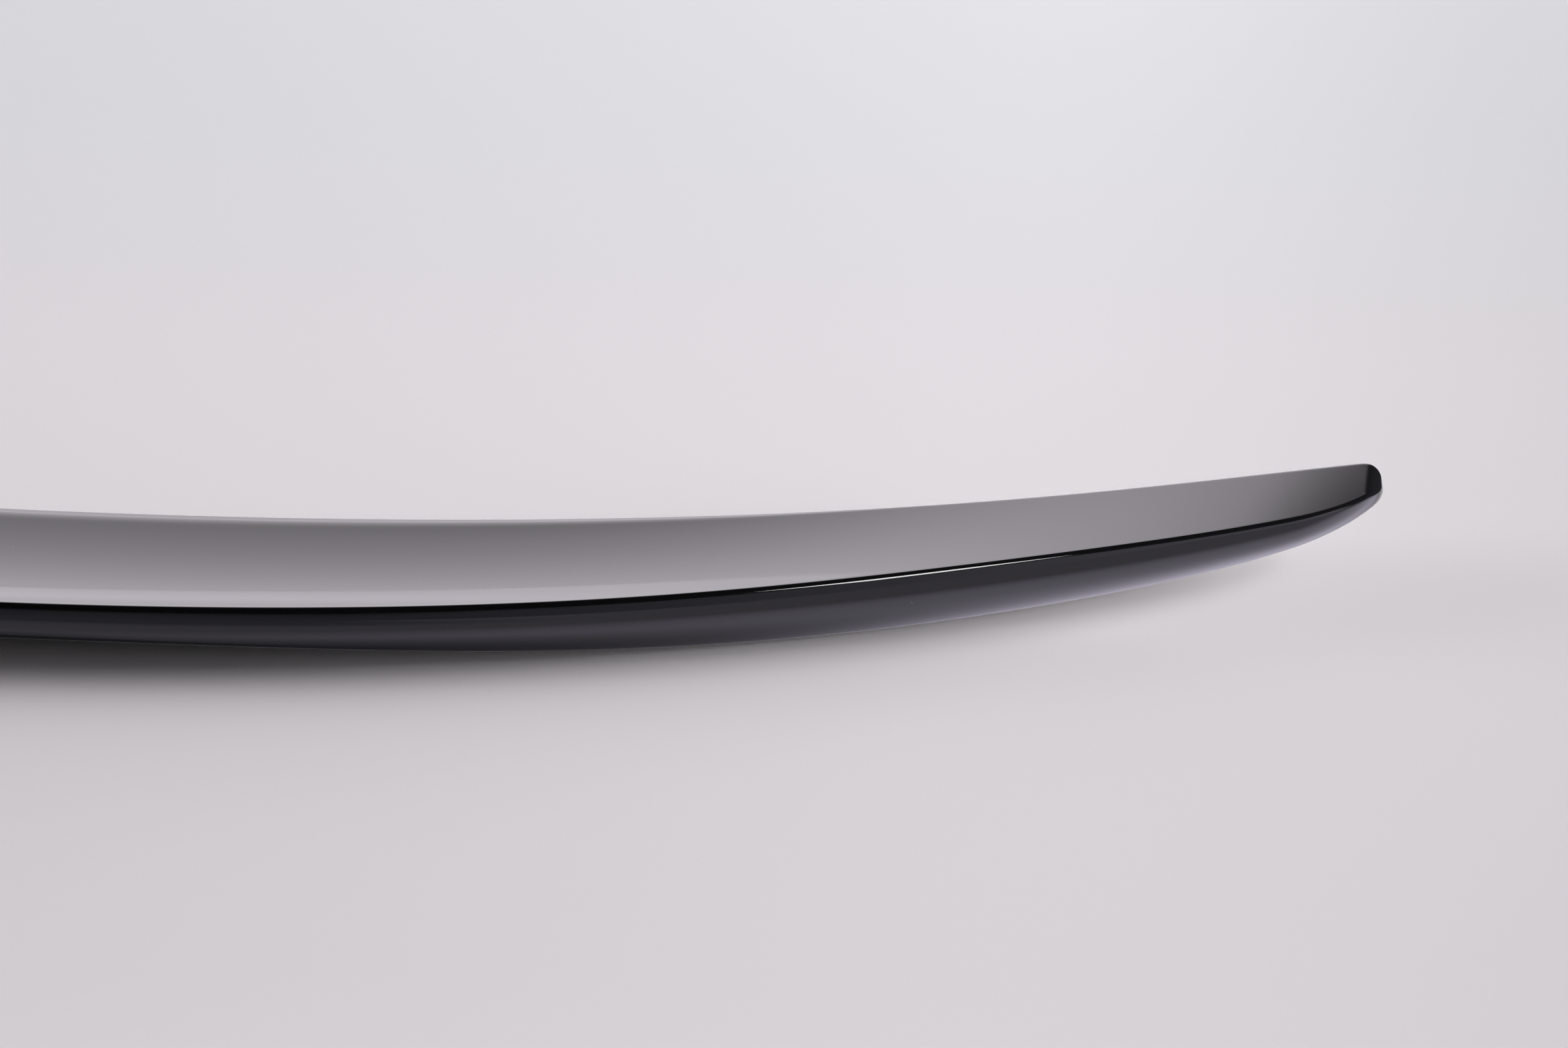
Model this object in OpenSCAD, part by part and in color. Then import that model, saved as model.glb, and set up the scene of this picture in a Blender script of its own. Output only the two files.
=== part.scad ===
// Lip spoiler for the boot lid of a car: one moulded piece with a hollow, ribbed underside.
// X runs across the car, +Y points forward, +Z points up. It lies as it rests on a flat table.

/* [Plan] */
// Span across the car, from tip to tip
span = 1160; // [1080:10:1260]
// How far the lip swings forward from the middle to the tips, with the square of the distance
lip_bow = 136.5; // [120:0.5:150]
// How far it swings further, with the fourth power
lip_gain = 26.7; // [15:0.1:40]
// Depth from the front edge to the lip at the middle
chord_mid = 166.6; // [158:0.1:176]
// Depth lost towards the tips, with the square of the distance
chord_taper = 93; // [88:1:100]
// Depth lost towards the tips, with the fourth power
chord_bend = 7; // [2:1:12]
// Depth lost close to the tips
chord_tip = 13; // [8:0.1:14]

/* [Lip] */
// Height of the lip over the table at the middle
lip_h = 26.2; // [25.5:0.1:32]
// Rise of the lip towards the tips
lip_rise = 7; // [6:0.1:10]
// Hump of the lip between the middle and the tips
lip_swell = 3; // [2:0.1:5]
// Radius of the roll from the top to the rear face
lip_r = 3; // [2:0.1:4]

/* [Rear face] */
// Height of the rear face at the middle
face_mid = 15.6; // [12:0.1:16.4]
// Height of the rear face at the tips
face_tip = 10.9; // [9:0.1:12]
// Extra height of the rear face between the middle and the tips
face_swell = 14.1; // [10:0.1:14.5]
// Bulge of the rear face behind the lip, as a share of its height
face_bulge = 0.14; // [0.08:0.005:0.2]
// How far down the rear face the bulge stands out most
bulge_at = 0.87; // [0.7:0.01:1]
// Share of its height by which the face rolls under towards the tips
roll_under = 0.85; // [0.6:0.01:0.87]
// Radius of the rear face's lower edge
low_r = 1.5; // [1:0.1:2]

/* [Front edge] */
// Thickness of the front edge
lead_t = 3; // [2.5:0.1:4]
// Rise of the front edge towards the tips, with the square of the distance
lead_rise = 20; // [17:0.5:22]
// Further rise of the front edge, with the fourth power
lead_lift = 8; // [6:0.5:9]
// Radius of the front edge's upper corner
nose_r = 1.4; // [0.8:0.1:2]
// Width of the bevel along the front edge at the middle
bevel_mid = 15; // [10:0.5:20]
// Width of the bevel towards the tips
bevel_tip = 3; // [2.5:0.1:4]
// Distance from the middle at which the bevel has narrowed
bevel_run = 365; // [300:5:420]
// Fall of the bevel for each millimetre of width
bevel_fall = 0.23; // [0.15:0.01:0.28]
// Depth of the top's hollow, under a straight line from the bevel to the lip
scoop_depth = 5.5; // [4:0.1:6.5]
// How much of that hollow is drawn towards the bevel
scoop_ease = 0.1; // [0:0.01:0.2]

/* [Tips] */
// Length over which the lip curves into the end
lip_end = 42; // [34:1:44]
// Share of the tip's depth by which the lip curves forward there
lip_corner = 0.46; // [0.3:0.01:0.47]
// Length over which the front edge curves into the end
lead_end = 9; // [6:0.5:12]
// Share of the tip's depth by which the front edge curves back there
lead_corner = 0.3; // [0.2:0.005:0.32]
// How much shorter the front edge is than the lip, at each end
lead_inset = 1; // [0:0.5:4]
// How far the foot of each end stands in, for each millimetre of height
end_rake = 0.3; // [0:0.05:0.5]
// Depth of the end's sloping top edge
edge_depth = 4; // [2:0.1:5]
// Width of that sloping edge at the lip
edge_rear = 10.5; // [6:0.5:11]
// Width of that sloping edge at the front
edge_front = 4.5; // [3:0.5:6]
// How much further the lip's roll reaches over the top at the tips
tip_roll = 2.5; // [0:0.1:3]
// Length over which the roll widens to that
tip_roll_run = 30; // [20:1:50]

/* [Underside] */
// Wall of the hollow moulding
wall = 3; // [2.5:0.1:3.5]
// Width of the bonding land along the rear edge
rear_land = 8; // [6:0.5:10]
// Width of the bonding land along the front edge
front_land = 40; // [30:1:50]
// Length of the solid land at each end
end_land = 45; // [43:1:60]
// Thickness of a rib
rib_t = 2.2; // [1.6:0.1:3]
// How far the ribs stop short of the bonding lands' level
rib_recess = 1; // [0.5:0.1:2]
// Distance between the cross ribs
rib_pitch = 108; // [100:1:115]
// Number of cross ribs on each side of the middle one
ribs_side = 4; // [3:1:4]
// Draft of the hollow's walls, at their top
draft = 0.8; // [0.4:0.1:1.5]

/* [Hidden] */
half = span / 2;
// sections between two cross ribs, and points along each stretch of a section
bay_steps = 5;
face_steps = 5;
roll_steps = 4;
top_steps = 7;
// share of the bevel's width that its upper crease is softened over
bevel_blend = 0.4;
// share of the lip's radius that the roll takes from the top and from the face
roll_reach = 0.8;
// most of the seat's depth that each bonding land may take near the tips
rear_share = 0.25;
front_share = 0.4;
// most of the hollow's depth that half a long rib and the draft may take there
rib_share = 0.1;
draft_share = 0.05;
// most of its thickness that the end's sloping edge may take
edge_share = 0.6;
// how sharply the end's sloping edge falls away
edge_curve = 1.5;
// how late the roll under sets in on the way to the tips, and how much of it is lost at the tips
roll_onset = 1.2;
roll_fade = 0.25;
// small step along a curve, to find its direction
step = 0.01;

function mix(a, b, k) = a + (b - a) * k;
function bend(a, b, c, k) = mix(mix(a, b, k), mix(b, c, k), k);
function turned(v) = [for (i = [len(v) - 1:-1:0]) v[i]];

// share of the half span, and how far a quarter ellipse has closed over the last stretch before the tip
function part_of(x) = abs(x) / half;
function closed(x, run) = 1 - sqrt(max(0, 1 - pow(max(0, abs(x) - half + run) / run, 2)));

// the lip and the front edge in plan, and their heights
function bow(x) = lip_bow * pow(part_of(x), 2) + lip_gain * pow(part_of(x), 4);
function chord(x) = chord_mid - chord_taper * pow(part_of(x), 2) - chord_bend * pow(part_of(x), 4)
    - chord_tip * pow(part_of(x), 10);
function lip_y(x) = bow(x) + lip_corner * chord(half) * closed(x, lip_end);
function lead_y(x) = bow(x) + chord(x) - lead_corner * chord(half) * closed(x, lead_end);
function swell(x) = 4 * pow(part_of(x), 2) * (1 - pow(part_of(x), 2));
function lip_z(x) = lip_h + lip_rise * pow(part_of(x), 4) + lip_swell * pow(swell(x), 3);
function lead_z(x) = lead_t + lead_rise * pow(part_of(x), 2) + lead_lift * pow(part_of(x), 4);

// the rear face: its height, how far it rolls under, its bulge, and a point w of the way down
function face_h(x) = mix(face_mid, face_tip, pow(part_of(x), 8)) + face_swell * swell(x);
function under(x) = roll_under * face_h(x) * pow(1 - pow(1 - pow(part_of(x), 2), 2), roll_onset)
    * (1 - roll_fade * pow(part_of(x), 8));
function bulge(x, w) = face_bulge * face_h(x) * (1 - pow(1 - w / bulge_at, 2));
function face(x, w) = [
    lip_y(x) - bulge(x, w) + under(x) * pow(w, 3),
    lip_z(x) - face_h(x) * w
];

// the bevel's width, and the scooped top: v is 0 where it meets the bevel and 1 at the lip
function bevel(x) = mix(bevel_tip, bevel_mid, max(0, 1 - pow(x / bevel_run, 2)));
function scoop_run(x) = lead_y(x) - lip_y(x) - bevel(x);
function crease_z(x) = lead_z(x) + bevel_fall * bevel(x);
function hollow_z(x) = 4 * scoop_depth * pow(1 - pow(part_of(x), 3), 4);
function scoop_z(x, v) = mix(crease_z(x), lip_z(x), v)
    - hollow_z(x) * v * (1 - v) * (1 + scoop_ease * (1 - 2 * v));
function scoop(x, v) = [lip_y(x) + scoop_run(x) * (1 - v), scoop_z(x, v)];
function top_z(x, y) = y > lip_y(x) + scoop_run(x)
    ? lead_z(x) + bevel_fall * (lead_y(x) - y)
    : scoop_z(x, 1 - (y - lip_y(x)) / scoop_run(x));

// the seat on the boot lid: a straight line from the low rear edge to the foot of the front edge
function low(x) = face(x, 1);
function foot(x) = [lead_y(x), lead_z(x) - lead_t];
function seat_run(x) = foot(x).x - low(x).x;
function seat_z(x, y) = mix(low(x).y, foot(x).y, (y - low(x).x) / seat_run(x));
function on_seat(x, y) = [y, seat_z(x, y)];
function low_reach(x) = min(low_r, rear_share / 2 * seat_run(x));

// crossing of the tangents at two points of a section, where the roll's corner would be
function cross_2d(a, b) = a.x * b.y - a.y * b.x;
function corner(p, p_dir, q, q_dir) = p + p_dir * cross_2d(q - p, q_dir) / cross_2d(p_dir, q_dir);

// the skin of one section, from the low rear edge over the lip to the foot of the front edge
function skin(x) =
    let (
        reach = roll_reach * lip_r,
        top_reach = reach + tip_roll * pow(max(0, 1 - (half - abs(x)) / tip_roll_run), 2),
        w0 = reach / face_h(x),
        w1 = 1 - low_r / face_h(x),
        v0 = 1 - top_reach / scoop_run(x),
        v1 = bevel_blend * bevel(x) / scoop_run(x),
        roll_from = face(x, w0),
        roll_to = scoop(x, v0),
        roll_mid = corner(roll_from, face(x, w0 + step) - roll_from, roll_to, scoop(x, v0 + step) - roll_to),
        crease = scoop(x, 0),
        bevel_from = crease + [1, -bevel_fall] * bevel_blend * bevel(x),
        brow = [lead_y(x) - nose_r, lead_z(x) + bevel_fall * nose_r],
        nose = [lead_y(x), lead_z(x)],
        chin = nose - [0, nose_r]
    )
    concat(
        [for (k = [0, 0.5]) bend(on_seat(x, low(x).x + low_reach(x)), low(x), face(x, w1), k)],
        [for (i = [0:face_steps]) face(x, mix(w1, w0, i / face_steps))],
        [for (i = [1:roll_steps - 1]) bend(roll_from, roll_mid, roll_to, i / roll_steps)],
        [for (i = [0:top_steps]) scoop(x, mix(v0, v1, i / top_steps))],
        [for (k = [0.5, 1]) bend(scoop(x, v1), crease, bevel_from, k)],
        [for (k = [0, 0.5, 1]) bend(brow, nose, chin, k)],
        [foot(x)]
    );

// the skin sinks towards the seat along the sloping top edge of each end
function across(x, y) = (y - lip_y(x)) / (lead_y(x) - lip_y(x));
function edge_run(x, y) = mix(edge_rear, edge_front, min(1, max(0, across(x, y))));
function edge_way(x, y) = max(0, abs(x) - half + edge_run(x, y)) / edge_run(x, y);
function sunk(x, p) = [
    p.x,
    mix(p.y, seat_z(x, p.x), min(edge_share, edge_depth / face_h(x)) * pow(edge_way(x, p.x), edge_curve))
];

// the hollow of one section, from the rear land to the front land: each point is its place across
// the hollow, and 1 for the ceiling or 0 for the edge of a long rib
long_ribs = [1 / 3, 2 / 3];
function hollow_marks(width) =
    let (
        t = min(rib_share, rib_t / 2 / width),
        d = min(draft_share, draft / width),
        ends = [0, for (r = long_ribs) each [r - t - d, r + t + d], 1],
        counts = [4, 5, 4]
    )
    [for (i = [0:len(counts) - 1]) each concat(
        [for (k = [0:counts[i] + 1]) [mix(ends[2 * i], ends[2 * i + 1], k / (counts[i] + 1)), 1]],
        i < len(long_ribs) ? [[long_ribs[i] - t, 0], [long_ribs[i] + t, 0]] : []
    )];
function hollow(x, state) =
    let (
        rear = low(x).x + min(rear_land, rear_share * seat_run(x)),
        front = foot(x).x - min(front_land, front_share * seat_run(x)),
        inset = min(draft, draft_share * (front - rear)),
        rib_lift = state == SOLID ? 0 : rib_recess
    )
    concat(
        [on_seat(x, rear)],
        [for (m = hollow_marks(front - rear - 2 * inset))
            let (y = mix(rear + inset, front - inset, m[0]), rib_z = seat_z(x, y) + rib_lift)
            [y, state == OPEN && m[1] == 1 ? max(rib_z, top_z(x, y) - wall) : rib_z]],
        [on_seat(x, front)]
    );

// where the sections stand on the right half, and what the hollow does there
SOLID = 0;
RIB = 1;
OPEN = 2;
hollow_end = half - max(end_land, lip_end + 2 * draft);
lip_turn = asin(1 - (edge_rear + 1) / lip_end);
right_half = concat(
    [for (k = [0:ribs_side])
        let (at = k * rib_pitch, next = k < ribs_side ? at + rib_pitch : hollow_end)
        each concat(
            k > 0 ? [[at - rib_t / 2 - draft, OPEN], [at - rib_t / 2, RIB]] : [],
            [[at + rib_t / 2, RIB], [at + rib_t / 2 + draft, OPEN]],
            [for (i = [1:bay_steps - 1]) [mix(at, next, i / bay_steps), OPEN]]
        )],
    [[hollow_end, OPEN], [hollow_end + draft, SOLID]],
    [for (k = [0:0.25:1]) [half - lip_end + lip_end * sin(lip_turn * k), SOLID]],
    [for (a = [0:15:90]) [half - edge_rear + edge_rear * sin(a), SOLID]]
);
stations = concat([for (s = turned(right_half)) [-s[0], s[1]]], right_half);

// each section is a closed ring in an upright plane, which leans and fans out a little near the tips
function lean(x, z) = sign(x) * end_rake * pow(part_of(x), 8) * (lip_z(x) - z);
function placed(x, p) = [x * (1 - lead_inset / half * across(x, p.x)) - lean(x, p.y), p.x, p.y];
rings = [for (s = stations)
    let (x = s[0])
    [for (p = concat([for (q = skin(x)) sunk(x, q)], turned(hollow(x, s[1])))) placed(x, p)]];
ring_n = len(rings[0]);
side_n = ring_n / 2;
last = len(rings) - 1;
rear_most = min([for (r = rings) for (p = r) p.y]);
front_most = max([for (r = rings) for (p = r) p.y]);

function at(ring, i) = ring * ring_n + (i + ring_n) % ring_n;
// walls between neighbouring rings, with the diagonals mirrored about the middle
wall_faces = [for (r = [0:last - 1]) for (i = [0:ring_n - 1]) each r < last / 2
    ? [[at(r, i), at(r, i + 1), at(r + 1, i)], [at(r, i + 1), at(r + 1, i + 1), at(r + 1, i)]]
    : [[at(r, i), at(r, i + 1), at(r + 1, i + 1)], [at(r, i), at(r + 1, i + 1), at(r + 1, i)]]];
// each end is closed by a ladder of faces from the skin to the seat
function rung(r, i) = i < side_n / 2
    ? [[at(r, i), at(r, -1 - i), at(r, i + 1)], [at(r, i + 1), at(r, -1 - i), at(r, -2 - i)]]
    : [[at(r, i), at(r, -2 - i), at(r, i + 1)], [at(r, i), at(r, -1 - i), at(r, -2 - i)]];
start_faces = [for (i = [0:side_n - 2]) each rung(0, i)];
end_faces = [for (i = [0:side_n - 2]) for (f = rung(last, i)) turned(f)];

module spoiler() {
    color([0.03, 0.03, 0.035])
        translate([0, -(rear_most + front_most) / 2, 0])
            polyhedron(
                points = [for (r = rings) each r],
                faces = concat(start_faces, wall_faces, end_faces),
                convexity = 6
            );
}

spoiler();
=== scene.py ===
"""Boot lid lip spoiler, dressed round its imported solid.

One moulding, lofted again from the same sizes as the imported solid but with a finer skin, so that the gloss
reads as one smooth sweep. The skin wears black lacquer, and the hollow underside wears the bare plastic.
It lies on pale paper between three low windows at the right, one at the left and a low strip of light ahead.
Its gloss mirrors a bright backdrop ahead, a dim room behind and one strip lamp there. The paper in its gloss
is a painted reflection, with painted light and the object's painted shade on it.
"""

from __future__ import annotations

import logging
import math
from dataclasses import dataclass
from enum import Enum
from typing import Any

import bpy
import numpy as np
from mathutils import Matrix, Vector

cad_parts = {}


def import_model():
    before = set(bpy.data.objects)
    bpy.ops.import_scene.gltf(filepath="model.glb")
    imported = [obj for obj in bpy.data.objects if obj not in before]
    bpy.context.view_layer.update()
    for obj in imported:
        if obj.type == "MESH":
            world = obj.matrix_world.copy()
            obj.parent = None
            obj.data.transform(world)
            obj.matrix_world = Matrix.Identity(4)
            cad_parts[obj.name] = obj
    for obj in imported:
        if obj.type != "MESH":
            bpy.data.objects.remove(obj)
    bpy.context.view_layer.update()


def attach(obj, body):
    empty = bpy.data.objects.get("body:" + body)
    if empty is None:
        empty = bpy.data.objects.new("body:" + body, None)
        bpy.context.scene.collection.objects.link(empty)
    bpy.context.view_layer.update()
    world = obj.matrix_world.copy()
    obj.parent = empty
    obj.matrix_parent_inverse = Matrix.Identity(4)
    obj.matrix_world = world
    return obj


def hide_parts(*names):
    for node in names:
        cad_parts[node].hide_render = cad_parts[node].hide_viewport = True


log = logging.getLogger("spoiler")

MM = 0.001
ROOT = "root"

Rgb = tuple[float, float, float]
Range = tuple[float, float]


class Blend(Enum):
    """How two numbers of a shader are put together, by the name of the Math node's operation."""

    ADD = "ADD"
    SUBTRACT = "SUBTRACT"
    MULTIPLY = "MULTIPLY"
    LEAST = "MINIMUM"
    MOST = "MAXIMUM"


class Hollow(Enum):
    """What a section of the moulding does underneath."""

    SOLID = 0
    RIB = 1
    OPEN = 2


class Bench:
    """A material's or world's node tree, with one method that adds any node."""

    def __init__(self, owner: bpy.types.Material | bpy.types.World) -> None:
        """Empties the owner's node tree and keeps it.

        Args:
            owner: the material or world whose nodes are built.
        """
        owner.use_nodes = True
        self.tree = owner.node_tree
        self.tree.nodes.clear()

    def add(self, kind: str, settings: dict[str, Any] | None = None, **sockets: Any) -> bpy.types.Node:
        """Adds a node, first its settings and then its sockets.

        Args:
            kind: the node's type, such as ShaderNodeTexNoise.
            settings: properties of the node.
            sockets: values or links, by the socket's name with spaces as underscores, or by in_ and a number.

        Returns:
            The new node.
        """
        node = self.tree.nodes.new(kind)
        for name, value in (settings or {}).items():
            setattr(node, name, value)
        for name, value in sockets.items():
            key = int(name[3:]) if name.startswith("in_") else name.replace("_", " ")
            self.feed(node.inputs[key], value)
        return node

    def feed(self, socket: bpy.types.NodeSocket, value: Any) -> None:
        """Links a value's socket, or sets a plain number or colour."""
        if isinstance(value, Value):
            self.tree.links.new(value.socket, socket)
        elif isinstance(value, bpy.types.NodeSocket):
            self.tree.links.new(value, socket)
        else:
            socket.default_value = value

    def value(self, node: bpy.types.Node, output: str | int = 0) -> Value:
        """Wraps one of a node's outputs, so that expressions can be written on it."""
        return Value(self, node.outputs[output])

    def noise(self, place: bpy.types.NodeSocket, per_m: float, detail: float) -> Value:
        """A cloudy pattern round 0.5, with so many clouds to a metre."""
        return self.value(self.add("ShaderNodeTexNoise", Vector=place, Scale=per_m, Detail=detail))

    def blend(self, share: Value | float, first: Any, second: Any, how: str = "MIX") -> bpy.types.NodeSocket:
        """Lays one colour on another.

        Args:
            share: how much of the second colour is laid on, from 0 to 1.
            first: the colour below, as three numbers or a socket.
            second: the colour on top, as three numbers or a socket.
            how: the way it is laid on. MIX covers the first colour, and MULTIPLY darkens it.

        Returns:
            The socket of the new colour.
        """
        ends = ((*c, 1.0) if isinstance(c, tuple) else c for c in (first, second))
        settings = {"data_type": "RGBA", "blend_type": how}
        node = self.add("ShaderNodeMix", settings, Factor=share, **dict(zip(("in_6", "in_7"), ends)))
        return node.outputs[2]


@dataclass(frozen=True)
class Value:
    """One number of a shader. Sums, differences, products and limits on it add their Math nodes."""

    bench: Bench
    socket: bpy.types.NodeSocket

    def _with(self, how: Blend, first: Value | float, second: Value | float) -> Value:
        """Adds the Math node for one operation and returns its result."""
        node = self.bench.add("ShaderNodeMath", {"operation": how.value}, in_0=first, in_1=second)
        return self.bench.value(node)

    def __add__(self, other: Value | float) -> Value:
        """Sum."""
        return self._with(Blend.ADD, self, other)

    __radd__ = __add__

    def __sub__(self, other: Value | float) -> Value:
        """Difference."""
        return self._with(Blend.SUBTRACT, self, other)

    def __rsub__(self, other: Value | float) -> Value:
        """Difference, with this value taken away."""
        return self._with(Blend.SUBTRACT, other, self)

    def __mul__(self, other: Value | float) -> Value:
        """Product."""
        return self._with(Blend.MULTIPLY, self, other)

    __rmul__ = __mul__

    def at_most(self, other: Value | float) -> Value:
        """The smaller of the two."""
        return self._with(Blend.LEAST, self, other)

    def at_least(self, other: Value | float) -> Value:
        """The larger of the two."""
        return self._with(Blend.MOST, self, other)

    def rise(self, between: Range) -> Value:
        """0 below the range, 1 above it, and a smooth step within."""
        low, high = between
        smooth = {"interpolation_type": "SMOOTHSTEP"}
        node = self.bench.add("ShaderNodeMapRange", smooth, Value=self, From_Min=low, From_Max=high)
        return self.bench.value(node)


@dataclass(frozen=True)
class Lacquer:
    """Black lacquer on moulded plastic: deep gloss, a trace of orange peel and a little settled dust."""

    colour: Rgb = (0.003, 0.003, 0.0035)
    dust_colour: Rgb = (0.32, 0.31, 0.30)
    ior: float = 1.5
    gloss: float = 0.03
    haze: float = 0.03
    dusty: float = 0.55
    peel_per_m: float = 420.0
    peel_height_m: float = 0.000004
    peel_detail: float = 1.0
    cloud_per_m: float = 9.0
    cloud_detail: float = 3.0
    cloud: Range = (0.35, 0.75)
    speck_per_m: float = 160.0
    speck_rim: Range = (0.0225, 0.045)
    speck_share: Range = (0.04, 0.05)

    def material(self) -> bpy.types.Material:
        """Builds the lacquer's shader.

        Returns:
            The material, with its patterns on object coordinates.
        """
        made = bpy.data.materials.new("gloss_black_lacquer")
        bench = Bench(made)
        place = bench.add("ShaderNodeTexCoord").outputs["Object"]
        cloud = bench.noise(place, self.cloud_per_m, self.cloud_detail)
        peel = bench.noise(place, self.peel_per_m, self.peel_detail)
        specks = bench.add("ShaderNodeTexVoronoi", Vector=place, Scale=self.speck_per_m, Randomness=1.0)
        chosen = bench.value(bench.add("ShaderNodeSeparateColor", Color=specks.outputs["Color"]))
        near = 1.0 - bench.value(specks, "Distance").rise(self.speck_rim)
        dust = near * (1.0 - chosen.rise(self.speck_share))
        tint = bench.blend(dust, self.colour, self.dust_colour)
        rough = self.gloss + cloud.rise(self.cloud) * self.haze + dust * self.dusty
        bump = bench.add("ShaderNodeBump", Strength=1.0, Distance=self.peel_height_m, Height=peel)
        body = bench.add(
            "ShaderNodeBsdfPrincipled",
            Base_Color=tint,
            Roughness=rough,
            Normal=bump.outputs[0],
            IOR=self.ior,
        )
        bench.add("ShaderNodeOutputMaterial", Surface=body.outputs[0])
        return made


@dataclass(frozen=True)
class MouldedPlastic:
    """The bare black plastic of the underside, with the fine grain of its mould."""

    dark_colour: Rgb = (0.012, 0.012, 0.01275)
    light_colour: Rgb = (0.0208, 0.0208, 0.0221)
    ior: float = 1.5
    satin: float = 0.42
    satin_swing: float = 0.14
    grain_per_m: float = 1400.0
    grain_height_m: float = 0.00004
    grain_detail: float = 2.0
    cloud_per_m: float = 16.0
    cloud_detail: float = 4.0
    tint_cloud: Range = (0.3, 0.7)
    satin_cloud: Range = (0.25, 0.8)

    def material(self) -> bpy.types.Material:
        """Builds the plastic's shader.

        Returns:
            The material, with its patterns on object coordinates.
        """
        made = bpy.data.materials.new("moulded_black_plastic")
        bench = Bench(made)
        place = bench.add("ShaderNodeTexCoord").outputs["Object"]
        cloud = bench.noise(place, self.cloud_per_m, self.cloud_detail)
        grain = bench.noise(place, self.grain_per_m, self.grain_detail)
        tint = bench.blend(cloud.rise(self.tint_cloud), self.dark_colour, self.light_colour)
        rough = self.satin + cloud.rise(self.satin_cloud) * self.satin_swing
        bump = bench.add("ShaderNodeBump", Strength=1.0, Distance=self.grain_height_m, Height=grain)
        body = bench.add(
            "ShaderNodeBsdfPrincipled",
            Base_Color=tint,
            Roughness=rough,
            Normal=bump.outputs[0],
            IOR=self.ior,
        )
        bench.add("ShaderNodeOutputMaterial", Surface=body.outputs[0])
        return made


def mix(a: Any, b: Any, k: Any) -> Any:
    """The point k of the way from a to b."""
    return a + (b - a) * k


def bend(a: np.ndarray, b: np.ndarray, c: np.ndarray, k: float) -> np.ndarray:
    """A point on the quadratic curve from a to c that the corner b pulls on."""
    return mix(mix(a, b, k), mix(b, c, k), k)


def cross_2d(a: np.ndarray, b: np.ndarray) -> np.ndarray:
    """Cross product of plane vectors, one for each section."""
    return a[..., 0] * b[..., 1] - a[..., 1] * b[..., 0]


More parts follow.
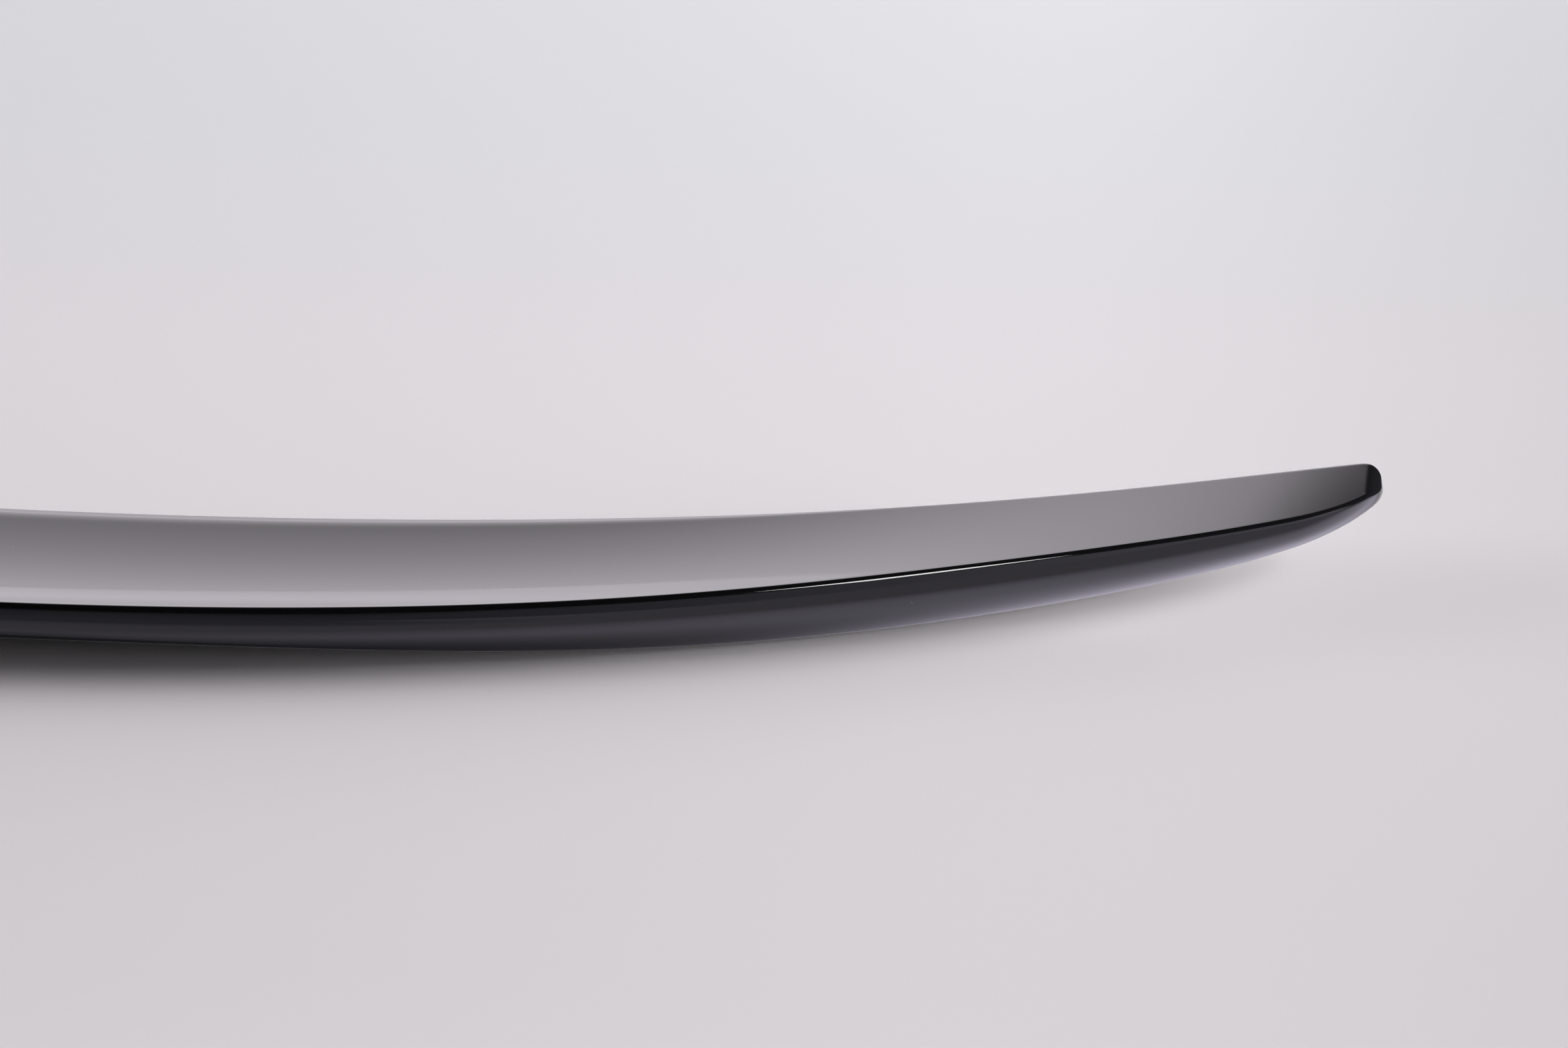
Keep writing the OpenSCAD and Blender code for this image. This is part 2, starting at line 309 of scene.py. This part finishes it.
@dataclass
class Moulding:
    """The one-piece moulding. Sizes are in mm, and each function takes the stations' x as an array.

    A section lies in an upright plane across x, with its points as (y, z). t is the share of the half span.
    The corners, the bulge and the shares of a land, rib or draft are parts of the size that they belong to.
    """

    span: float = 1160.0
    lip_bow: float = 136.5
    lip_gain: float = 26.7
    chord_mid: float = 166.6
    chord_taper: float = 93.0
    chord_bend: float = 7.0
    chord_tip: float = 13.0
    lip_h: float = 26.2
    lip_rise: float = 7.0
    lip_swell: float = 3.0
    lip_r: float = 3.0
    face_mid: float = 15.6
    face_tip: float = 10.9
    face_swell: float = 14.1
    face_bulge: float = 0.14
    bulge_at: float = 0.87
    roll_under: float = 0.85
    roll_fade: float = 0.25
    roll_onset: float = 1.2
    low_r: float = 1.5
    lead_t: float = 3.0
    lead_rise: float = 20.0
    lead_lift: float = 8.0
    nose_r: float = 1.4
    bevel_mid: float = 15.0
    bevel_tip: float = 3.0
    bevel_run: float = 365.0
    bevel_fall: float = 0.23
    scoop_depth: float = 5.5
    scoop_ease: float = 0.1
    lip_end: float = 42.0
    lip_corner: float = 0.46
    lead_end: float = 9.0
    lead_corner: float = 0.3
    lead_inset: float = 1.0
    end_rake: float = 0.3
    edge_depth: float = 4.0
    edge_rear: float = 10.5
    edge_front: float = 4.5
    edge_share: float = 0.6
    edge_curve: float = 1.5
    tip_roll: float = 2.5
    tip_roll_run: float = 30.0
    bevel_blend: float = 0.4
    roll_reach: float = 0.8
    wall: float = 3.0
    rear_land: float = 8.0
    front_land: float = 40.0
    rear_share: float = 0.25
    front_share: float = 0.4
    rib_share: float = 0.1
    draft_share: float = 0.05
    end_land: float = 45.0
    rib_t: float = 2.2
    rib_recess: float = 1.0
    rib_pitch: float = 108.0
    ribs_side: int = 4
    draft: float = 0.8
    long_ribs: tuple[float, ...] = (1 / 3, 2 / 3)
    bay_steps: int = 36
    low_steps: int = 5
    face_steps: int = 22
    roll_steps: int = 14
    top_steps: int = 44
    blend_steps: int = 8
    bevel_steps: int = 4
    nose_steps: int = 6
    strip_steps: int = 8
    lip_turn_deg: Range = (4.0, 47.0)
    lip_turn_steps: int = 18
    edge_turn_steps: int = 15
    step: float = 0.01
    crease_deg: float = 32.0

    def t(self, x: np.ndarray) -> np.ndarray:
        """Share of the half span."""
        return np.abs(x) / (self.span / 2)

    def closed(self, x: np.ndarray, run: float) -> np.ndarray:
        """How far a quarter ellipse has closed over the last stretch before the tip, run long: 0 to 1."""
        way = np.maximum(0.0, np.abs(x) - self.span / 2 + run) / run
        return 1 - np.sqrt(np.maximum(0.0, 1 - way**2))

    def bow(self, x: np.ndarray) -> np.ndarray:
        """The lip's swing forward, with the square and the fourth power of t."""
        return self.lip_bow * self.t(x) ** 2 + self.lip_gain * self.t(x) ** 4

    def swell(self, x: np.ndarray) -> np.ndarray:
        """A hump of height 1 between the middle and the tip: the cube of 4 t squared times 1 - t squared."""
        return (4 * self.t(x) ** 2 * (1 - self.t(x) ** 2)) ** 3

    def chord(self, x: np.ndarray) -> np.ndarray:
        """Depth from the lip to the front edge, before their ends curve in, falling with even powers of t."""
        t = self.t(x)
        return self.chord_mid - self.chord_taper * t**2 - self.chord_bend * t**4 - self.chord_tip * t**10

    def lip_y(self, x: np.ndarray) -> np.ndarray:
        """The lip in plan, with its rounded end."""
        return self.bow(x) + self.lip_corner * self.chord(self.span / 2) * self.closed(x, self.lip_end)

    def lead_y(self, x: np.ndarray) -> np.ndarray:
        """The front edge in plan: the lip's bow and the depth, with its rounded end."""
        corner = self.lead_corner * self.chord(self.span / 2)
        return self.bow(x) + self.chord(x) - corner * self.closed(x, self.lead_end)

    def lip_z(self, x: np.ndarray) -> np.ndarray:
        """Height of the lip, which rises with the fourth power of t and swells between."""
        return self.lip_h + self.lip_rise * self.t(x) ** 4 + self.lip_swell * self.swell(x)

    def lead_z(self, x: np.ndarray) -> np.ndarray:
        """Height of the front edge's top, which rises with the square and the fourth power of t."""
        return self.lead_t + self.lead_rise * self.t(x) ** 2 + self.lead_lift * self.t(x) ** 4

    def face_h(self, x: np.ndarray) -> np.ndarray:
        """Height of the rear face: middle to tip with the eighth power of t, and a swell between."""
        t = self.t(x)
        return mix(self.face_mid, self.face_tip, t**8) + 4 * self.face_swell * t**2 * (1 - t**2)

    def face(self, x: np.ndarray, w: float | np.ndarray) -> np.ndarray:
        """A point of the rear face, w of the way down.

        The face bulges as a parabola and rolls under with the cube of w, more so towards the tips.
        """
        height, t = self.face_h(x), self.t(x)
        onset = (1 - (1 - t**2) ** 2) ** self.roll_onset
        under = self.roll_under * height * onset * (1 - self.roll_fade * t**8)
        bulge = self.face_bulge * height * (1 - (1 - w / self.bulge_at) ** 2)
        y = self.lip_y(x) - bulge + under * w**3
        return np.stack([y, self.lip_z(x) - height * w], -1)

    def bevel(self, x: np.ndarray) -> np.ndarray:
        """Width of the bevel along the front edge, which narrows as a parabola."""
        return mix(self.bevel_tip, self.bevel_mid, np.maximum(0.0, 1 - (x / self.bevel_run) ** 2))

    def scoop_run(self, x: np.ndarray) -> np.ndarray:
        """Depth of the scooped top, from the lip to the bevel."""
        return self.lead_y(x) - self.lip_y(x) - self.bevel(x)

    def scoop(self, x: np.ndarray, v: float | np.ndarray) -> np.ndarray:
        """A point of the top, v from 0 at the bevel to 1 at the lip: a straight line less a hollow.

        The hollow is 4v(1 - v), drawn a little to the bevel. It fades as the fourth power of 1 - t cubed.
        """
        low = self.lead_z(x) + self.bevel_fall * self.bevel(x)
        depth = 4 * self.scoop_depth * (1 - self.t(x) ** 3) ** 4
        z = mix(low, self.lip_z(x), v) - depth * v * (1 - v) * (1 + self.scoop_ease * (1 - 2 * v))
        return np.stack([self.lip_y(x) + self.scoop_run(x) * (1 - v), z], -1)

    def top_z(self, x: np.ndarray, y: np.ndarray) -> np.ndarray:
        """Height of the skin over a point, on the bevel or on the scooped top."""
        run = self.scoop_run(x)
        on_bevel = self.lead_z(x) + self.bevel_fall * (self.lead_y(x) - y)
        on_scoop = self.scoop(x, np.clip(1 - (y - self.lip_y(x)) / run, 0.0, 1.0))[..., 1]
        return np.where(y > self.lip_y(x) + run, on_bevel, on_scoop)

    def foot(self, x: np.ndarray) -> np.ndarray:
        """The foot of the front edge."""
        return np.stack([self.lead_y(x), self.lead_z(x) - self.lead_t], -1)

    def seat(self, x: np.ndarray, y: np.ndarray) -> np.ndarray:
        """A point of the seat: on the straight line from the low rear edge to the foot of the front edge."""
        low, foot = self.face(x, 1.0), self.foot(x)
        share = (y - low[..., 0]) / (foot[..., 0] - low[..., 0])
        return np.stack([y, mix(low[..., 1], foot[..., 1], share)], -1)

    def skin(self, x: np.ndarray) -> np.ndarray:
        """The outer skin of each section, from the low rear edge over the lip to the foot of the front edge.

        Args:
            x: the stations.

        Returns:
            Points as stations by points by (y, z).
        """
        reach = self.roll_reach * self.lip_r
        at_tip = np.maximum(0.0, 1 - self.span / 2 * (1 - self.t(x)) / self.tip_roll_run)
        top_reach = reach + self.tip_roll * at_tip**2
        w0, w1 = reach / self.face_h(x), 1 - self.low_r / self.face_h(x)
        v0, v1 = 1 - top_reach / self.scoop_run(x), self.bevel_blend * self.bevel(x) / self.scoop_run(x)
        roll_from, roll_to = self.face(x, w0), self.scoop(x, v0)
        from_dir = self.face(x, w0 + self.step) - roll_from
        to_dir = self.scoop(x, v0 + self.step) - roll_to
        meet = cross_2d(roll_to - roll_from, to_dir) / cross_2d(from_dir, to_dir)
        roll_mid = roll_from + from_dir * meet[:, None]
        low = self.face(x, 1.0)
        crease = self.scoop(x, 0.0)
        fall = np.array([1.0, -self.bevel_fall])
        bevel_from = crease + fall * (self.bevel_blend * self.bevel(x))[:, None]
        nose = np.stack([self.lead_y(x), self.lead_z(x)], -1)
        brow = nose - fall * self.nose_r
        chin = nose - np.array([0.0, self.nose_r])
        seat_run = self.foot(x)[:, 0] - low[:, 0]
        low_from = self.seat(x, low[:, 0] + np.minimum(self.low_r, self.rear_share / 2 * seat_run))
        face_to, top_to = self.face(x, w1), self.scoop(x, v1)
        rows = [bend(low_from, low, face_to, k) for k in np.linspace(0, 1, self.low_steps)[:-1]]
        rows += [self.face(x, mix(w1, w0, k)) for k in np.linspace(0, 1, self.face_steps)]
        rows += [bend(roll_from, roll_mid, roll_to, k) for k in np.linspace(0, 1, self.roll_steps)[1:-1]]
        rows += [self.scoop(x, mix(v0, v1, k)) for k in np.linspace(0, 1, self.top_steps)]
        rows += [bend(top_to, crease, bevel_from, k) for k in np.linspace(0, 1, self.blend_steps)[1:]]
        rows += [mix(bevel_from, brow, k) for k in np.linspace(0, 1, self.bevel_steps)[1:-1]]
        rows += [bend(brow, nose, chin, k) for k in np.linspace(0, 1, self.nose_steps)]
        rows += [self.foot(x)]
        return np.stack(rows, 1)

    def sunk(self, x: np.ndarray, points: np.ndarray) -> np.ndarray:
        """Lowers the skin towards the seat along the top edge of each end, over less run at the front."""
        across = x[:, None]
        share = (points[..., 0] - self.lip_y(across)) / (self.lead_y(across) - self.lip_y(across))
        run = mix(self.edge_rear, self.edge_front, np.clip(share, 0.0, 1.0))
        way = np.maximum(0.0, np.abs(across) - self.span / 2 + run) / run
        most = np.minimum(self.edge_share, self.edge_depth / self.face_h(across))
        ground = self.seat(across, points[..., 0])[..., 1]
        return np.stack([points[..., 0], mix(points[..., 1], ground, most * way**self.edge_curve)], -1)

    def hollow(self, x: np.ndarray, state: np.ndarray) -> np.ndarray:
        """The underside of each section, from the front land to the rear land.

        Args:
            x: the stations.
            state: for each station, a value of Hollow.

        Returns:
            Points as stations by points by (y, z).
        """
        low, foot = self.face(x, 1.0)[:, 0], self.foot(x)[:, 0]
        rear = low + np.minimum(self.rear_land, self.rear_share * (foot - low))
        front = foot - np.minimum(self.front_land, self.front_share * (foot - low))
        inset = np.minimum(self.draft, self.draft_share * (front - rear))
        width = front - rear - 2 * inset
        half_rib = np.minimum(self.rib_share, self.rib_t / 2 / width)
        slope = np.minimum(self.draft_share, self.draft / width)
        ends = [np.zeros_like(x)]
        for rib in self.long_ribs:
            ends += [rib - half_rib - slope, rib + half_rib + slope]
        ends += [np.ones_like(x)]
        places, ceiling = [], []
        for i in range(len(self.long_ribs) + 1):
            for k in np.linspace(0, 1, self.strip_steps):
                places.append(mix(ends[2 * i], ends[2 * i + 1], k))
                ceiling.append(True)
            if i < len(self.long_ribs):
                places += [self.long_ribs[i] - half_rib, self.long_ribs[i] + half_rib]
                ceiling += [False, False]
        y = mix((rear + inset)[:, None], (front - inset)[:, None], np.stack(places, 1))
        across = x[:, None]
        recess = np.where(state == Hollow.SOLID.value, 0.0, self.rib_recess)
        rib_z = self.seat(across, y)[..., 1] + recess[:, None]
        is_open = (state == Hollow.OPEN.value)[:, None] & np.array(ceiling)[None, :]
        z = np.where(is_open, np.maximum(rib_z, self.top_z(across, y) - self.wall), rib_z)
        inside = np.stack([y, z], -1)
        rows = [self.seat(x, rear)[:, None], inside, self.seat(x, front)[:, None]]
        return np.concatenate(rows, 1)[:, ::-1]

    def stations(self) -> tuple[np.ndarray, np.ndarray]:
        """Where the sections stand, from tip to tip, and what the hollow does at each.

        Returns:
            The stations' x and their states, both symmetrical about the middle.
        """
        half, open_end = self.span / 2, self.span / 2 - self.end_land
        places: list[float] = []
        states: list[int] = []

        def put(x: float, state: Hollow) -> None:
            """Adds one station."""
            places.append(x)
            states.append(state.value)

        for k in range(self.ribs_side + 1):
            at = k * self.rib_pitch
            following = at + self.rib_pitch if k < self.ribs_side else open_end
            if k > 0:
                put(at - self.rib_t / 2 - self.draft, Hollow.OPEN)
                put(at - self.rib_t / 2, Hollow.RIB)
            put(at + self.rib_t / 2, Hollow.RIB)
            put(at + self.rib_t / 2 + self.draft, Hollow.OPEN)
            for i in range(1, self.bay_steps):
                put(mix(at, following, i / self.bay_steps), Hollow.OPEN)
        put(open_end, Hollow.OPEN)
        put(open_end + self.draft, Hollow.SOLID)
        for turn in np.radians(np.linspace(*self.lip_turn_deg, self.lip_turn_steps)):
            put(half - self.lip_end + self.lip_end * math.sin(turn), Hollow.SOLID)
        for turn in np.linspace(0, math.pi / 2, self.edge_turn_steps):
            put(half - self.edge_rear + self.edge_rear * math.sin(turn), Hollow.SOLID)
        x, state = np.array(places), np.array(states)
        return np.concatenate([-x[::-1], x]), np.concatenate([state[::-1], state])

    def rings(self) -> tuple[np.ndarray, int]:
        """All sections as closed rings, leaning and fanning out a little near the tips.

        Returns:
            Points as stations by points by (x, y, z), in mm, and how many points of a ring are on the skin.
        """
        x, state = self.stations()
        skin = self.sunk(x, self.skin(x))
        flat = np.concatenate([skin, self.hollow(x, state)], 1)
        y, z = flat[..., 0], flat[..., 1]
        share = (y - self.lip_y(x)[:, None]) / (self.lead_y(x) - self.lip_y(x))[:, None]
        lean = self.end_rake * self.t(x)[:, None] ** 8 * (self.lip_z(x)[:, None] - z)
        across = x[:, None] * (1 - self.lead_inset / (self.span / 2) * share) - np.sign(x)[:, None] * lean
        points = np.stack([across, y, z], -1)
        points[..., 1] -= (y.min() + y.max()) / 2
        return points, skin.shape[1]

    def mesh(self, name: str) -> bpy.types.Object:
        """Builds the moulding as one closed mesh: quads round the rings, and one face over each end.

        Args:
            name: the piece's name.

        Returns:
            The new object, at the origin: the skin in its first material slot, the underside in the next.
        """
        rings, skin_points = self.rings()
        count, around = rings.shape[:2]
        ring, i = np.meshgrid(np.arange(count - 1), np.arange(around), indexing="ij")
        here, beyond, following = ring * around, (ring + 1) * around, (i + 1) % around
        walls = np.stack([here + i, here + following, beyond + following, beyond + i], -1).reshape(-1, 4)
        ends = [list(range(around))[::-1], list(range((count - 1) * around, count * around))]
        faces = walls.tolist() + ends
        slots = np.append((i >= skin_points - 1).reshape(-1), [False] * len(ends)).astype(np.int32)
        made = bpy.data.meshes.new(name)
        made.from_pydata(rings.reshape(-1, 3) * MM, [], faces)
        made.polygons.foreach_set("use_smooth", np.ones(len(faces), bool))
        made.polygons.foreach_set("material_index", slots)
        made.update()
        made.set_sharp_from_angle(angle=math.radians(self.crease_deg))
        piece = bpy.data.objects.new(name, made)
        bpy.context.scene.collection.objects.link(piece)
        log.info("%s: %d stations of %d points, %d faces", name, count, around, len(faces))
        return piece

    def dress(self, piece: bpy.types.Object) -> None:
        """Gives the skin its lacquer and the underside its bare plastic."""
        piece.data.materials.append(Lacquer().material())
        piece.data.materials.append(MouldedPlastic().material())

    def build(self) -> bpy.types.Object:
        """Makes the piece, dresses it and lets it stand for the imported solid.

        Returns:
            The finished piece.
        """
        piece = self.mesh("spoiler_moulding")
        self.dress(piece)
        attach(piece, ROOT)
        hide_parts("spoiler")
        return piece


@dataclass
class Viewpoint:
    """The camera: where it stands, in mm and degrees, and how long its lens is."""

    target: tuple[float, float, float] = (327.2, -108.85, 74.2)
    pitch_deg: float = 21.0
    yaw_deg: float = -5.943
    roll_deg: float = -0.103
    distance: float = 1394.8
    focal_px: float = 5200.0
    image_px: float = 2346.0
    sensor_mm: float = 36.0
    seen_m: Range = (0.01, 100.0)

    def build(self) -> bpy.types.Object:
        """Sets the camera down, looking along the pitch and yaw at its target.

        Returns:
            The camera's object.
        """
        pitch, yaw, roll = (math.radians(a) for a in (self.pitch_deg, self.yaw_deg, self.roll_deg))
        ahead = Vector((math.sin(yaw) * math.cos(pitch), math.cos(yaw) * math.cos(pitch), -math.sin(pitch)))
        level = Vector((math.cos(yaw), -math.sin(yaw), 0.0))
        upright = level.cross(ahead)
        right = math.cos(roll) * level + math.sin(roll) * upright
        up = math.cos(roll) * upright - math.sin(roll) * level
        data = bpy.data.cameras.new("viewpoint")
        data.sensor_width = self.sensor_mm
        data.lens = self.focal_px * self.sensor_mm / self.image_px
        data.clip_start, data.clip_end = self.seen_m
        camera = bpy.data.objects.new("viewpoint", data)
        turn = Matrix((right, up, -ahead)).transposed().to_4x4()
        camera.matrix_world = Matrix.Translation((Vector(self.target) - ahead * self.distance) * MM) @ turn
        bpy.context.scene.collection.objects.link(camera)
        bpy.context.scene.camera = camera
        return camera


def az_el(azimuth: float, elevation: float) -> tuple[float, float, float]:
    """The direction at an azimuth from +Y towards +X and an elevation, both in degrees."""
    turn, rise = math.radians(azimuth), math.radians(elevation)
    return math.sin(turn) * math.cos(rise), math.cos(turn) * math.cos(rise), math.sin(rise)


@dataclass
class Lamp:
    """A soft rectangular lamp: the point it faces, the way to it from there, its sizes and its radiance.

    Places and sizes are in metres. A mirrored lamp shows in the gloss and lights nothing else. The others
    light the scene and don't show in the gloss.
    """

    name: str
    aim: tuple[float, float, float]
    toward: tuple[float, float, float]
    distance: float
    width: float
    height: float
    radiance: float
    upright: tuple[float, float, float] = (0.0, 0.0, 1.0)
    mirrored: bool = False

    def build(self) -> bpy.types.Object:
        """Hangs the lamp, with its height lying in the plane of the direction and the upright.

        Returns:
            The lamp's object.
        """
        data = bpy.data.lights.new(self.name, "AREA")
        data.shape = "RECTANGLE"
        data.size, data.size_y = self.width, self.height
        data.energy = self.radiance * math.pi * self.width * self.height
        lamp = bpy.data.objects.new(self.name, data)
        away = Vector(self.toward).normalized()
        across = Vector(self.upright).cross(away).normalized()
        along = away.cross(across)
        turn = Matrix((across, along, away)).transposed().to_4x4()
        lamp.matrix_world = Matrix.Translation(Vector(self.aim) + away * self.distance) @ turn
        lamp.visible_camera = False
        lamp.visible_glossy = self.mirrored
        lamp.visible_diffuse = not self.mirrored
        bpy.context.scene.collection.objects.link(lamp)
        return lamp


@dataclass
class Studio:
    """The paper, the windows, the strip lamp, and the room that the gloss mirrors.

    Places and distances are in metres, directions are parts of a length of 1, and a level of 1 is white.
    A range gives where a smooth step begins and ends.
    """

    # The paper as the camera sees it: warmer near, cooler far away, and darker to the right, which is painted
    # shade.
    floor_colour: Rgb = (0.708, 0.672, 0.701)
    far_floor_colour: Rgb = (0.665, 0.66, 0.695)
    floor_radius: float = 30.0
    rim_points: int = 64
    far_floor: Range = (0.1, 0.9)
    painted_dim_span: Range = (0.35, 0.85)
    painted_dim_level: float = 0.8
    # The colours of what the gloss mirrors, ahead of the lip and behind it: the room, and the paper's painted
    # reflection.
    glow_colour: Rgb = (0.99, 0.93, 1.01)
    behind_glow_colour: Rgb = (0.977, 0.92, 1.11)
    # The line on the paper under the lip.
    line_at: float = -0.1095
    line_bow: float = 0.406
    line_gain: float = 0.236
    # The painted reflection of the paper ahead of that line, brighter with the distance and a little more so
    # at the left.
    front: Range = (0.025, 0.06)
    front_level: float = 0.8
    sweep: Range = (0.06, 0.30)
    left: Range = (0.05, 0.4)
    left_glow: float = 0.17
    # The painted reflection of the paper behind it, outside the object's painted shade, with painted light
    # close to the line.
    plain: float = 0.7
    close: Range = (0.02, 0.075)
    close_gain: float = 0.2
    right_gain: float = 1.7
    right_cap: float = 0.42
    far: Range = (0.09, 0.25)
    far_loss: float = 0.33
    right: Range = (0.1, 0.35)
    # The object's painted shade on the paper's painted reflection.
    shade_at: float = 0.032
    shade_slope: float = 0.1
    shade_edge: Range = (-0.016, 0.016)
    painted_shade: float = 0.15
    shaded_gain: float = 0.3
    shaded_step: float = 0.27
    shaded_right: Range = (0.3, 0.42)
    # The mirrored room: a backdrop ahead up to a slanting edge, and behind a low band, lighter to the right.
    facing: Range = (-0.1, 0.1)
    edge_tilt: float = 1.0
    edge: Range = (0.175, 0.31)
    edge_tail: Range = (0.08, 0.38)
    edge_share: float = 0.72
    room_top: Range = (0.03, 0.2)
    room_slant: float = 0.45
    behind: float = 0.28
    behind_gain: float = 0.95
    overhead: float = 0.03
    # The weak scattered light of the room.
    fill_top: Range = (0.2, 0.5)
    fill_ahead: float = 0.022
    fill_behind: float = 0.008
    lamps: tuple[Lamp, ...] = (
        Lamp("right_window_low", (0.25, 0.0, 0.0), az_el(75, 4), 10.0, 11.5, 1.4, 82.0),
        Lamp("right_window_mid", (0.25, 0.0, 0.0), az_el(70, 12), 10.0, 5.4, 1.4, 70.0),
        Lamp("right_window_high", (0.25, 0.0, 0.0), az_el(64, 21.5), 10.0, 3.9, 2.1, 28.0),
        Lamp("ahead_strip", (0.25, 0.0, 0.0), az_el(4, 2.75), 10.0, 17.0, 0.96, 40.0),
        Lamp("left_window", (0.25, 0.0, 0.0), az_el(-67.5, 10.5), 10.0, 8.3, 3.7, 7.3),
        Lamp(
            "strip_behind",
            aim=(0.38, -0.1, 0.03),
            toward=(0.49, -0.62, 0.61),
            distance=1.5,
            width=0.34,
            height=0.66,
            radiance=20.0,
            upright=(0.0, 1.0, 0.0),
            mirrored=True,
        ),
    )

    @staticmethod
    def first_mirrored(bench: Bench) -> Value:
        """1 where the gloss mirrors something straight into the view, 0 after light was scattered."""
        path = bench.add("ShaderNodeLightPath")
        return bench.value(path, "Is Glossy Ray") * (1.0 - bench.value(path, "Diffuse Depth").at_most(1.0))

    def gap(self, x: Value, y: Value) -> Value:
        """How far a place lies behind y = line_at + line_bow x^2 + line_gain x^4, the line under the lip."""
        square = x * x
        return square * self.line_bow + square * square * self.line_gain + self.line_at - y

    def painted_floor_reflection(self, x: Value, y: Value, gap: Value, front: Value) -> Value:
        """How bright the floor looks in the object's gloss.

        Behind the line under the lip the floor is brightest close to it, more so to the right, which is
        painted light, darker in the object's own shade, which is painted shade, and darker again far away at
        the left. In front it brightens with the distance. All of it is a painted reflection: an emission that
        only the gloss sees.

        Args:
            x: place across, in metres.
            y: place forward, in metres.
            gap: distance behind the line, in metres.
            front: 1 in front of the line and 0 behind it.

        Returns:
            The brightness.
        """
        to_right = x.at_least(0.0)
        peak = 1.0 + (1.0 - x.rise(self.left)) * self.left_glow
        ahead = self.front_level + y.rise(self.sweep) * (peak - self.front_level)
        # Painted light: the paper's reflection is brighter close to the line under the lip, more so to the
        # right.
        gain = self.close_gain + to_right.at_most(self.right_cap) * self.right_gain
        close = (1.0 - gap.rise(self.close)) * gain
        far = gap.rise(self.far) * (1.0 - x.rise(self.right))
        bright = self.plain + close - far * self.far_loss
        # Painted shade: the object's own shade on the paper's reflection, lighter to the right.
        painted_shade = self.painted_shade + to_right * self.shaded_gain + x.rise(self.shaded_right) * self.shaded_step
        painted_lit_share = (gap - (self.shade_at - to_right * self.shade_slope)).rise(self.shade_edge)
        behind = painted_lit_share * bright + (1.0 - painted_lit_share) * painted_shade
        return front * ahead + (1.0 - front) * behind

    def floor(self) -> bpy.types.Object:
        """Lays the floor: a wide disc of pale paper, which the gloss mirrors by a law of its own.

        Returns:
            The floor's object.
        """
        turns = np.linspace(0, 2 * math.pi, self.rim_points, endpoint=False)
        rim = np.stack([np.cos(turns), np.sin(turns), np.zeros_like(turns)], -1) * self.floor_radius
        data = bpy.data.meshes.new("floor")
        data.from_pydata(rim.tolist(), [], [list(range(len(rim)))])
        material = bpy.data.materials.new("pale_paper")
        bench = Bench(material)
        place = bench.add("ShaderNodeTexCoord").outputs["Object"]
        split = bench.add("ShaderNodeSeparateXYZ", Vector=place)
        x, y = bench.value(split, 0), bench.value(split, 1)
        near_and_far = bench.blend(y.rise(self.far_floor), self.floor_colour, self.far_floor_colour)
        # Painted shade: the paper's colour is darkened towards the right, standing in for light falling off.
        painted_dimming = bench.blend(x.rise(self.painted_dim_span), (1.0, 1.0, 1.0), (self.painted_dim_level,) * 3)
        paper = bench.add("ShaderNodeBsdfDiffuse", Color=bench.blend(1.0, near_and_far, painted_dimming, "MULTIPLY"))
        # Painted reflection: what the gloss sees of the floor is an emission that paints the object's light
        # and shade.
        gap = self.gap(x, y)
        front = (0.0 - gap).rise(self.front)
        level = self.painted_floor_reflection(x, y, gap, front)
        hue = bench.blend(front, self.behind_glow_colour, self.glow_colour)
        painted_reflection = bench.add("ShaderNodeEmission", Color=hue, Strength=level)
        mirrored = self.first_mirrored(bench)
        mixed = bench.add("ShaderNodeMixShader", in_0=mirrored, in_1=paper.outputs[0], in_2=painted_reflection.outputs[0])
        bench.add("ShaderNodeOutputMaterial", Surface=mixed.outputs[0])
        data.materials.append(material)
        floor = bpy.data.objects.new("floor", data)
        bpy.context.scene.collection.objects.link(floor)
        return floor

    def room(self) -> None:
        """Fills the world: in the gloss a bright backdrop ahead, dark overhead and dim behind.

        The camera sees the floor's colour there, and the scattered light is a weak fill.
        """
        world = bpy.data.worlds.new("room")
        bpy.context.scene.world = world
        bench = Bench(world)
        direction = bench.add("ShaderNodeTexCoord").outputs["Generated"]
        split = bench.add("ShaderNodeSeparateXYZ", Vector=direction)
        x, y, z = (bench.value(split, i) for i in range(3))
        slant = z + x * self.edge_tilt
        tail = slant.rise(self.edge_tail) * (1.0 - self.edge_share)
        ahead = (1.0 - slant.rise(self.edge) * self.edge_share - tail) * (1.0 - self.overhead)
        to_right = x.at_least(0.0)
        low = 1.0 - (z - to_right * self.room_slant).rise(self.room_top)
        behind = low * (self.behind + to_right * to_right * self.behind_gain)
        facing = y.rise(self.facing)
        sharp = facing * ahead + (1.0 - facing) * behind + self.overhead
        soft = facing * (1.0 - z.rise(self.fill_top)) * self.fill_ahead + self.fill_behind
        mirrored = self.first_mirrored(bench)
        level = mirrored * sharp + (1.0 - mirrored) * soft
        hue = bench.blend(facing, self.behind_glow_colour, self.glow_colour)
        light = bench.add("ShaderNodeBackground", Color=hue, Strength=level)
        back = bench.add("ShaderNodeBackground", Color=(*self.floor_colour, 1.0), Strength=1.0)
        seen = bench.value(bench.add("ShaderNodeLightPath"), "Is Camera Ray")
        mixed = bench.add("ShaderNodeMixShader", in_0=seen, in_1=light.outputs[0], in_2=back.outputs[0])
        bench.add("ShaderNodeOutputWorld", Surface=mixed.outputs[0])

    def build(self) -> None:
        """Sets up the floor, the room and the lamps."""
        self.floor()
        self.room()
        for lamp in self.lamps:
            lamp.build()
        bpy.context.scene.view_settings.view_transform = "Standard"


def main() -> None:
    """Loads the frame and builds the camera, the piece and the studio in order."""
    logging.basicConfig(level=logging.INFO, format="%(name)s %(message)s")
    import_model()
    Viewpoint().build()
    Moulding().build()
    Studio().build()


if __name__ == "__main__":
    main()
